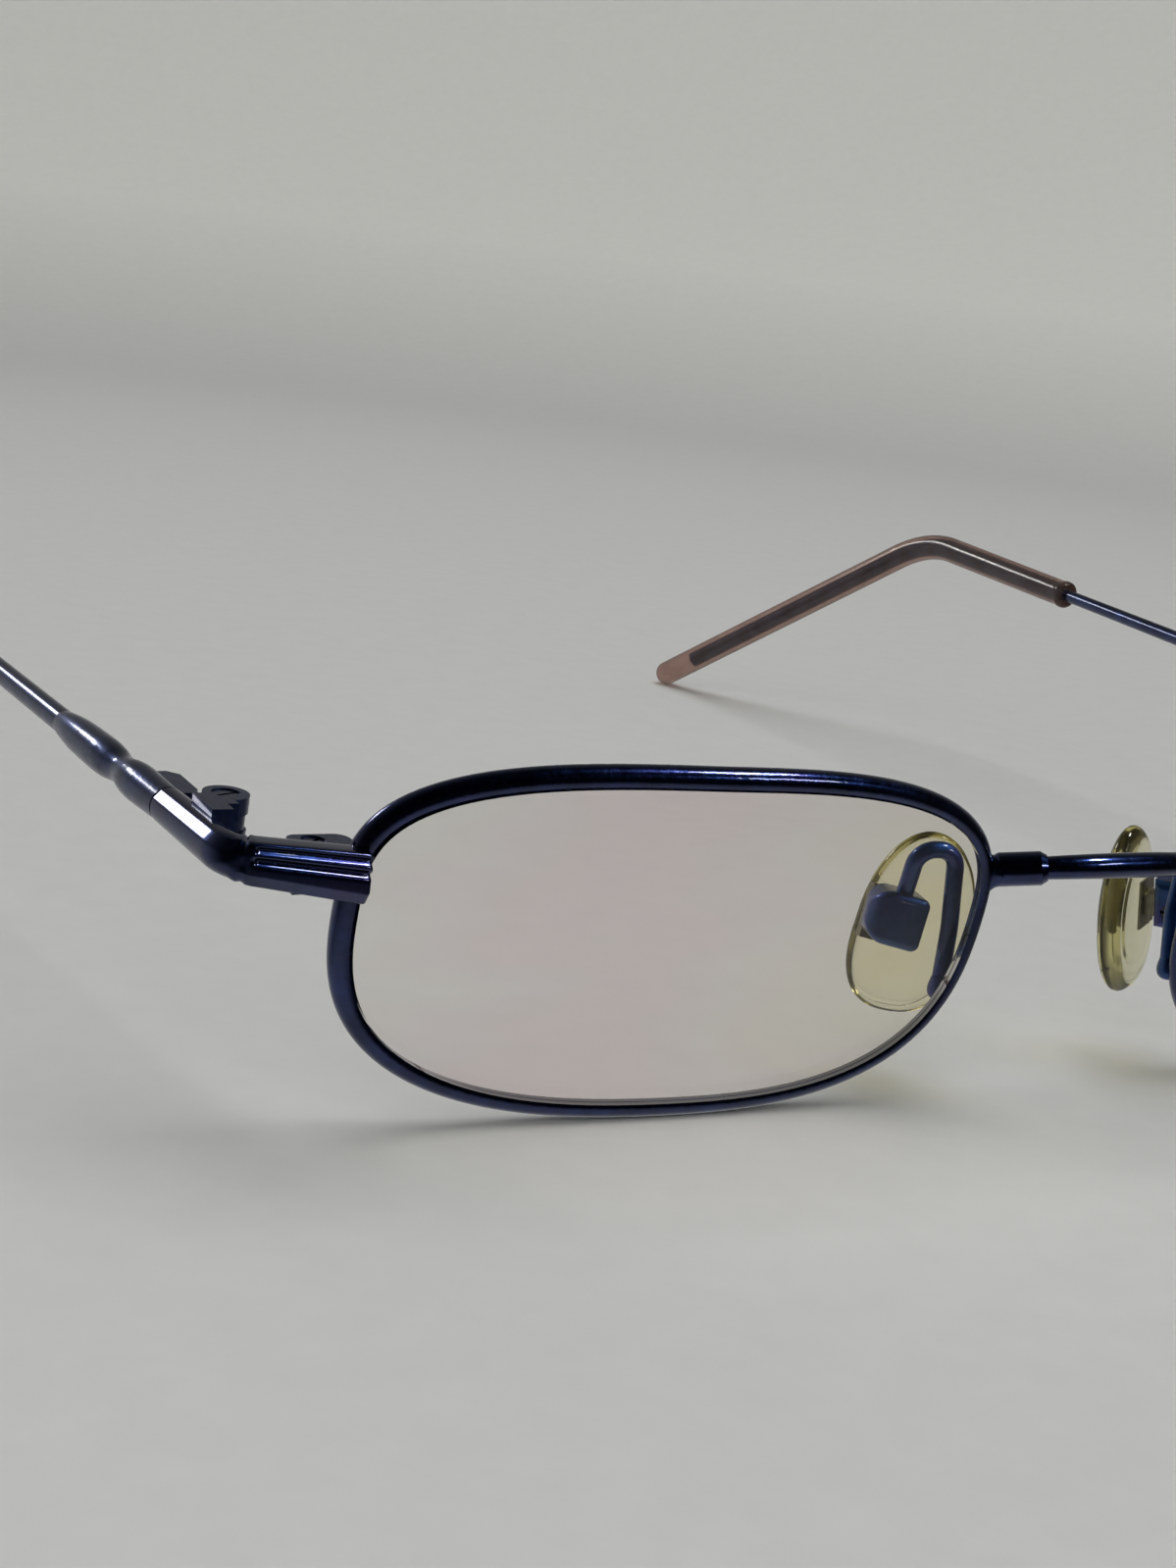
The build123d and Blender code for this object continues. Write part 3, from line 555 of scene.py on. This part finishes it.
def tip_material():
    """Translucent brown plastic with darker streaks along it."""
    material, tree, shader = new_material("brown_tip_look")
    shader.inputs["Transmission Weight"].default_value = 0.92
    shader.inputs["IOR"].default_value = 1.48
    streak = noise(tree, object_coords(tree, (1, 0.18, 0.3)), 0.9 * MM, 4)
    tint = ramp(tree, streak, [(0.35, TIP_TINTS[0]), (0.7, TIP_TINTS[1])])
    tree.links.new(tint, shader.inputs["Base Color"])
    scuff = noise(tree, object_coords(tree), 0.25 * MM, 4)
    tree.links.new(ramp(tree, scuff, [(0.35, 0.10), (0.7, 0.24)]), shader.inputs["Roughness"])
    bump(tree, shader, scuff, 0.004 * MM, 0.4)
    absorb(tree, *TIP_ABSORBED)
    soft_shadow(tree, shader, TIP_SHADOW)
    return material


# ---------------------------------------------------------------- carried-over CAD nodes

FINISH_OF = {
    "navy": ("rim", "bridge_ferrule", "endpiece"),
    "streaked": ("temple_casting", "temple_rod"),
    "worn": ("closing_block_upper", "closing_block_lower", "hinge_front", "hinge_temple"),
    "pad_metal": ("pad_arm", "pad_box"),
    "screw": ("rim_lock_screw", "hinge_screw", "pad_screw"),
    "insert": ("pad_insert",),
    "lens": ("lens",),
}


def dress_cad_nodes(materials):
    """Gives every carried-over CAD node its detailed material."""
    set_material("bridge_bar", materials["navy"])
    for finish, names in FINISH_OF.items():
        for name in names:
            for side in SIDES:
                set_material(f"{name}_{side}", materials[finish])


def set_material(node, material):
    """Puts one material on all of a CAD node's slots."""
    for slot in NODES[node].material_slots:
        slot.material = material


# ---------------------------------------------------------------- endpieces


def endpiece_frame(side):
    """Placement at the temple's axle: x outwards, y back along the temple, z up along the axle."""
    joint = JOINTS[f"temple_{side}_fold"]
    axle = Vector(joint["axis"]).normalized()
    up = axle if axle.z > 0 else -axle
    out = Vector((SIDES[side], 0, 0))
    back = up.cross(out) * SIDES[side]
    matrix = Matrix((out, back, up)).transposed().to_4x4()
    matrix.translation = Vector(joint["pos_m"])
    return matrix


def smoothstep(low, high, value):
    """0 below low, 1 above high, smooth between."""
    part = min(1.0, max(0.0, (value - low) / (high - low)))
    return part * part * (3 - 2 * part)


def between(ends, part):
    """Value at a part of the way from the first end to the second."""
    return ends[0] + (ends[1] - ends[0]) * part


def endpiece_section(run, length):
    """Section points (outwards, up), in mm, at a distance along the endpiece from its nose end."""
    to_stub = smoothstep(BLOCK_RUN - STUB_CHANGE[0], BLOCK_RUN + STUB_CHANGE[1], run)
    along_block = min(1.0, run / BLOCK_RUN)
    along_stub = max(0.0, run - BLOCK_RUN) / (length - BLOCK_RUN)
    back = between(STUB_SIZES, along_stub)
    half_out = between((between(BLOCK_DEPTHS, along_block), back), to_stub)
    half_up = between((between(BLOCK_HEIGHTS, along_block), back), to_stub)
    power = between((BLOCK_POWER, STUB_POWER), to_stub)
    crease = CREASE_DEPTH * math.exp(-(((run - BLOCK_RUN) / CREASE_WIDTH) ** 2))
    nose = min(1.0, run / END_ROUND)
    seam = min(1.0, (length - run) / SEAM_ROUND)
    trim = crease + END_ROUND * (1 - math.sqrt(nose * (2 - nose)))
    trim += SEAM_ROUND * (1 - math.sqrt(seam * (2 - seam)))
    rib = 1 - smoothstep(RIB_END, RIB_END + RIB_FADE, run)
    points = []
    for count, sign in ((FRONT_POINTS, 1), (BACK_POINTS, -1)):
        for k in range(count):
            up = -sign * math.cos(math.pi * k / count)
            out = sign * half_out * max(0.0, 1 - abs(up) ** power) ** (1 / power)
            points.append(endpiece_cuts(out, up * half_up, half_out, half_up, rib, to_stub, trim))
    return points


def endpiece_cuts(out, up, half_out, half_up, rib, to_stub, trim):
    """Cuts the two grooves, the lower chamfer of the block and the flat shoulder of the stub."""
    if out > 0:
        for place in GROOVE_PLACES:
            away = (up - place * 2 * half_up) / GROOVE_WIDTH
            out -= rib * GROOVE_DEPTH * math.exp(-away * away)
    over = (out - half_out) / CHAMFER[0] + (-up - half_up) / CHAMFER[1] + 1
    if over > 0:
        share = over * (1 - to_stub) / 2
        out -= share * CHAMFER[0]
        up += share * CHAMFER[1]
    shoulder = (out + up) / math.sqrt(2) - (1 - SHOULDER_CUT) * half_up
    if shoulder > 0 and to_stub > 0:
        out -= shoulder * to_stub / math.sqrt(2)
        up -= shoulder * to_stub / math.sqrt(2)
    size = math.hypot(out, up)
    shrink = max(0.0, 1 - trim / size) if size > 0 else 0
    return out * shrink, up * shrink


def endpiece_stations(points):
    """Distances along the path, closer together at the ends and round the crease."""
    length = sum((second - first).length for first, second in zip(points, points[1:]))
    end, ribs, crease, stub, seam = STATION_STEPS
    fine_end = BLOCK_RUN + FINE_RUN
    places = [END_ROUND * (1 - math.cos(math.pi / 2 * i / end)) for i in range(end)]
    places += [END_ROUND + (RIB_END - END_ROUND) * i / ribs for i in range(ribs)]
    places += [RIB_END + (fine_end - RIB_END) * i / crease for i in range(crease)]
    places += [fine_end + (length - SEAM_ROUND - fine_end) * i / stub for i in range(stub)]
    places += [length - SEAM_ROUND * math.cos(math.pi / 2 * i / seam) for i in range(seam + 1)]
    return places, length


def point_along(points, run):
    """Point at a distance along a polyline."""
    for first, second in zip(points, points[1:]):
        step = (second - first).length
        if run <= step or second is points[-1]:
            return first + (second - first) * (run / step)
        run -= step


def make_endpiece(side, material):
    """Ribbed block that turns back into a stub with a flat shoulder, as one smooth casting."""
    place = endpiece_frame(side)
    path = rounded_corner(*(Vector(point) for point in ENDPIECE_PATH), ENDPIECE_BEND)
    runs, length = endpiece_stations(path)
    up = Vector((0, 0, 1))

    def fill(work):
        rings = []
        for run in runs:
            centre = point_along(path, run)
            before = point_along(path, max(0.0, run - TURN_STEP))
            after = point_along(path, min(length, run + TURN_STEP))
            out = (after - before).cross(up).normalized()
            ring = []
            for outwards, upwards in endpiece_section(run, length):
                point = centre + out * outwards + up * upwards
                ring.append(work.verts.new(place @ (point * MM)))
            rings.append(ring)
        ring_faces(work, rings)
        work.faces.new(rings[0])
        work.faces.new(rings[-1])

    body = new_object(f"endpiece_body_{side}", fill)
    body.data.materials.append(material)
    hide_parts(f"endpiece_{side}")
    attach(body, "front")


# ---------------------------------------------------------------- braze fillets


def long_axis(node, outer_first):
    """Two ends of a slim CAD node along its longest direction, by its vertices."""
    points = [vertex.co.copy() for vertex in NODES[node].data.vertices]
    middle = sum(points, Vector()) / len(points)
    first = max(points, key=lambda point: (point - middle).length)
    direction = (first - middle).normalized()
    for _ in range(AXIS_ROUNDS):
        total = Vector()
        for point in points:
            total += (point - middle) * (point - middle).dot(direction)
        direction = total.normalized()
    reach = [(point - middle).dot(direction) for point in points]
    ends = [middle + direction * min(reach), middle + direction * max(reach)]
    ends.sort(key=lambda point: -abs(point.x) if outer_first else abs(point.x))
    return ends


def make_braze(name, start, along, up, profile, material):
    """Flared collar of braze metal; profile rows are (distance, half height, half depth) in mm."""
    wide = along.cross(up).normalized()
    tall = wide.cross(along).normalized()

    def fill(work):
        rings = []
        for row, (distance, half_up, half_wide) in enumerate(profile):
            ring = []
            for i in range(BRAZE_SEGMENTS):
                angle = 2 * math.pi * i / BRAZE_SEGMENTS
                wave = math.sin(3 * angle + 1.7 * row) * math.sin(2 * angle + row)
                ripple = 1 + BRAZE_RIPPLE * wave
                offset = tall * (half_up * math.sin(angle)) + wide * (half_wide * math.cos(angle))
                ring.append(work.verts.new(start + (along * distance + offset * ripple) * MM))
            rings.append(ring)
        ring_faces(work, rings)
        work.faces.new(rings[0])
        work.faces.new(rings[-1])

    collar = new_object(name, fill)
    smooth = collar.modifiers.new("smooth", "SUBSURF")
    smooth.levels = smooth.render_levels = 2
    collar.data.materials.append(material)
    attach(collar, "front")


def make_ferrule_braze(side, material):
    """Braze where the bridge ferrule meets the rim, spread up and down the rim wire."""
    outer, inner = long_axis(f"bridge_ferrule_{side}", True)
    along = (inner - outer).normalized()
    name, up = f"ferrule_braze_{side}", Vector((0, 0, 1))
    make_braze(name, outer, along, up, FERRULE_BRAZE, material)


def make_arm_braze(side, material):
    """Braze that holds the root of the pad arm on the back of the rim."""
    points = [vertex.co.copy() for vertex in NODES[f"pad_arm_{side}"].data.vertices]
    lowest = min(point.z for point in points)
    root = [point for point in points if point.z < lowest + ROOT_HEIGHT]
    start = sum(root, Vector()) / len(root)
    low, high = lowest + 3 * ROOT_HEIGHT, lowest + 5 * ROOT_HEIGHT
    upright = [point for point in points if point.x * SIDES[side] < ARM_UPRIGHT_X]
    higher = [point for point in upright if low < point.z < high]
    along = (sum(higher, Vector()) / len(higher) - start).normalized()
    name, up = f"arm_braze_{side}", Vector((0, -1, 0))
    make_braze(name, start, along, up, ARM_BRAZE, material)


# ---------------------------------------------------------------- nose pads


def pad_matrix(side):
    """Placement of a nose pad: x away from the nose, y to the lens, z up the pad."""
    low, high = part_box(f"nose_pad_{side}")
    centre = (low + high) / 2
    away = Vector(JOINTS[f"nose_pad_{side}_rock"]["axis"])
    corners = [vertex.co.copy() for vertex in NODES[f"nose_pad_{side}"].data.vertices]
    top = max(corners, key=lambda point: (point - centre).dot(Vector((0, 0, 1))))
    bottom = min(corners, key=lambda point: (point - centre).dot(Vector((0, 0, 1))))
    return frame_matrix(centre, away, top - bottom)


def pad_outline(side, angle):
    """Egg-shaped outline, squarer and fuller at the bottom."""
    across, up = math.cos(angle), math.sin(angle)
    power = PAD_TOP_POWER if up > 0 else PAD_BOTTOM_POWER
    across = math.copysign(abs(across) ** (2 / power), across)
    up = math.copysign(abs(up) ** (2 / power), up)
    lean = PAD_LEAN[side][0 if up < 0 else 1]
    width = PAD_HALF_WIDTH * (1 - PAD_TOP_NARROWING * (1 + up))
    return width * across - lean * up, PAD_HALF_LENGTH * up


def pad_swell(part, facing_skin):
    """How far a face stands off the middle plane at a part of the radius."""
    full = PAD_SKIN_SWELL if facing_skin else PAD_BACK_SWELL
    edge = math.sqrt(max(0.0, 1 - part**PAD_EDGE_POWER))
    at_edge, in_middle = PAD_SKIN_CROWN if facing_skin else PAD_BACK_CROWN
    height = full * edge * (at_edge + in_middle * (1 - part * part))
    if not facing_skin:
        away = (part - PAD_GROOVE_PLACE) / PAD_GROOVE_WIDTH
        height -= PAD_GROOVE_DEPTH * math.exp(-away * away)
    return height


def make_nose_pad(side, material):
    """Soft crowned pad moulded round the metal insert."""
    place = pad_matrix(side)

    def fill(work):
        rings = []
        for facing_skin in (True, False):
            parts = [math.sin(math.pi / 2 * i / PAD_RINGS) for i in range(PAD_RINGS + 1)]
            if not facing_skin:
                parts = parts[-2::-1]
            for part in parts:
                rings.append(pad_ring(work, place, part, facing_skin, side))
        ring_faces(work, rings)

    pad = new_object(f"nose_pad_soft_{side}", fill)
    smooth = pad.modifiers.new("smooth", "SUBSURF")
    smooth.levels = smooth.render_levels = 1
    pad.data.materials.append(material)
    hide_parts(f"nose_pad_{side}")
    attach(pad, f"pad_{side}")


def pad_ring(work, place, part, facing_skin, side):
    """One ring of pad vertices, or a single vertex in the middle."""
    height = pad_swell(part, facing_skin) * (SIDES[side] if facing_skin else -SIDES[side])
    if part < 1e-9:
        return [work.verts.new(place @ Vector((0, height, 0)))]
    ring = []
    for i in range(PAD_SEGMENTS):
        x, z = pad_outline(side, 2 * math.pi * i / PAD_SEGMENTS)
        ring.append(work.verts.new(place @ Vector((x * part, height, z * part))))
    return ring


# ---------------------------------------------------------------- temple tips


def tip_path(side):
    """Centre line of a temple tip: mouth of the sleeve, round the bend, to the end's centre."""
    low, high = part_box(f"temple_tip_{side}")
    inner = high.x if side == "right" else low.x
    end = Vector((inner + SIDES[side] * TIP_RADIUS, high.y - TIP_RADIUS, low.z + TIP_RADIUS))
    down = Vector(MOUNTS[f"temple_tip_{side}"]["axis"])
    bend = end - down * (TIP_DROP - TIP_RADIUS)
    axle = Vector(JOINTS[f"temple_{side}_fold"]["axis"])
    out = Vector((SIDES[side], 0, 0))
    level = axle.cross(out)
    level = level if level.y > 0 else -level
    splay = math.radians(TEMPLE_SPLAY)
    along = level.normalized() * math.cos(splay) + out * math.sin(splay)
    mouth = bend - along * SLEEVE_RUN
    return rounded_corner(mouth, bend, end, TIP_BEND_RADIUS)


def rounded_corner(start, corner, end, radius):
    """Points along two straight runs joined by a tangent arc."""
    first = (corner - start).normalized()
    second = (end - corner).normalized()
    turn = first.angle(second)
    cut = radius * math.tan(turn / 2)
    tangent = corner - first * cut
    centre = tangent + (second - first * first.dot(second)).normalized() * radius
    run_in, round_it, run_out = CORNER_STEPS
    points = [start + (tangent - start) * i / run_in for i in range(run_in)]
    spoke = tangent - centre
    axis = first.cross(second).normalized()
    for i in range(round_it + 1):
        points.append(centre + Matrix.Rotation(turn * i / round_it, 3, axis) @ spoke)
    leave = corner + second * cut
    points += [leave + (end - leave) * i / run_out for i in range(1, run_out + 1)]
    return points


def tube_rings(work, points, sections, side_hint):
    """Rings of an oval tube along points; each section is (half height, half width)."""
    rings = []
    for i, point in enumerate(points):
        before, after = points[max(i - 1, 0)], points[min(i + 1, len(points) - 1)]
        along = (after - before).normalized()
        wide = (side_hint - along * side_hint.dot(along)).normalized()
        tall = along.cross(wide)
        ring = []
        for k in range(TIP_SEGMENTS):
            angle = 2 * math.pi * k / TIP_SEGMENTS
            offset = wide * (sections[i][1] * math.cos(angle))
            offset += tall * (sections[i][0] * math.sin(angle))
            ring.append(work.verts.new(point + offset))
        rings.append(ring)
    return rings


def make_temple_tip(side, material):
    """Moulded sleeve with a beaded mouth and a rounded, slightly flattened end."""
    path = tip_path(side)
    points, sections = [], []
    along = (path[1] - path[0]).normalized()
    for place, radius in TIP_MOUTH:
        points.append(path[0] + along * place * MM)
        sections.append((radius * MM, radius * MM))
    body = path[1:]
    for i, point in enumerate(body):
        share = i / (len(body) - 1)
        points.append(point)
        sections.append([TIP_RADIUS * (TIP_MOUTH_SHARE + growth * share) for growth in TIP_GROWTH])
    end, last = body[-1], (body[-1] - body[-2]).normalized()
    for i in range(1, TIP_END_STEPS + 1):
        angle = math.pi / 2 * i / TIP_END_STEPS
        points.append(end + last * TIP_RADIUS * TIP_END_REACH * math.sin(angle))
        shrink = max(math.cos(angle), TIP_END_SMALLEST)
        sections.append((TIP_RADIUS * shrink, TIP_RADIUS * TIP_END_WIDTH * shrink))

    def fill(work):
        rings = tube_rings(work, points, sections, Vector((1, 0, 0)))
        ring_faces(work, rings)
        work.faces.new(rings[0])
        work.faces.new(rings[-1])

    tip = new_object(f"temple_tip_sleeve_{side}", fill)
    tip.data.materials.append(material)
    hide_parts(f"temple_tip_{side}")
    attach(tip, f"temple_{side}")


# ---------------------------------------------------------------- assembly


def make_materials():
    """Every material of the object, by short name."""
    return {
        "navy": lacquered_metal(
            "navy_lacquer_look",
            (0.008, 0.018, 0.075), (0.022, 0.044, 0.165), (0.030, 0.024, 0.125), 0.15, 0.25,
        ),
        "streaked": lacquered_metal(
            "streaked_navy_look",
            (0.008, 0.018, 0.075), (0.034, 0.062, 0.195), (0.020, 0.029, 0.110), 0.24, 0.7, 0.12,
        ),
        "worn": lacquered_metal(
            "worn_navy_look",
            (0.034, 0.055, 0.145), (0.068, 0.100, 0.240), (0.052, 0.060, 0.180), 0.36, 1.0,
        ),
        "pad_metal": lacquered_metal(
            "blue_pad_metal_look",
            (0.016, 0.060, 0.240), (0.030, 0.105, 0.360), (0.085, 0.045, 0.330), 0.38, 0.2,
        ),
        "screw": screw_material(),
        "insert": insert_material(),
        "lens": lens_material(),
        "vinyl": vinyl_material(),
        "tip": tip_material(),
    }


def make_object():
    """All the looks, built round the frame."""
    materials = make_materials()
    dress_cad_nodes(materials)
    for side in SIDES:
        make_endpiece(side, materials["navy"])
        make_ferrule_braze(side, materials["navy"])
        make_arm_braze(side, materials["pad_metal"])
        make_nose_pad(side, materials["vinyl"])
        make_temple_tip(side, materials["tip"])


make_camera()
make_world()
make_lights()
make_stage()
make_object()
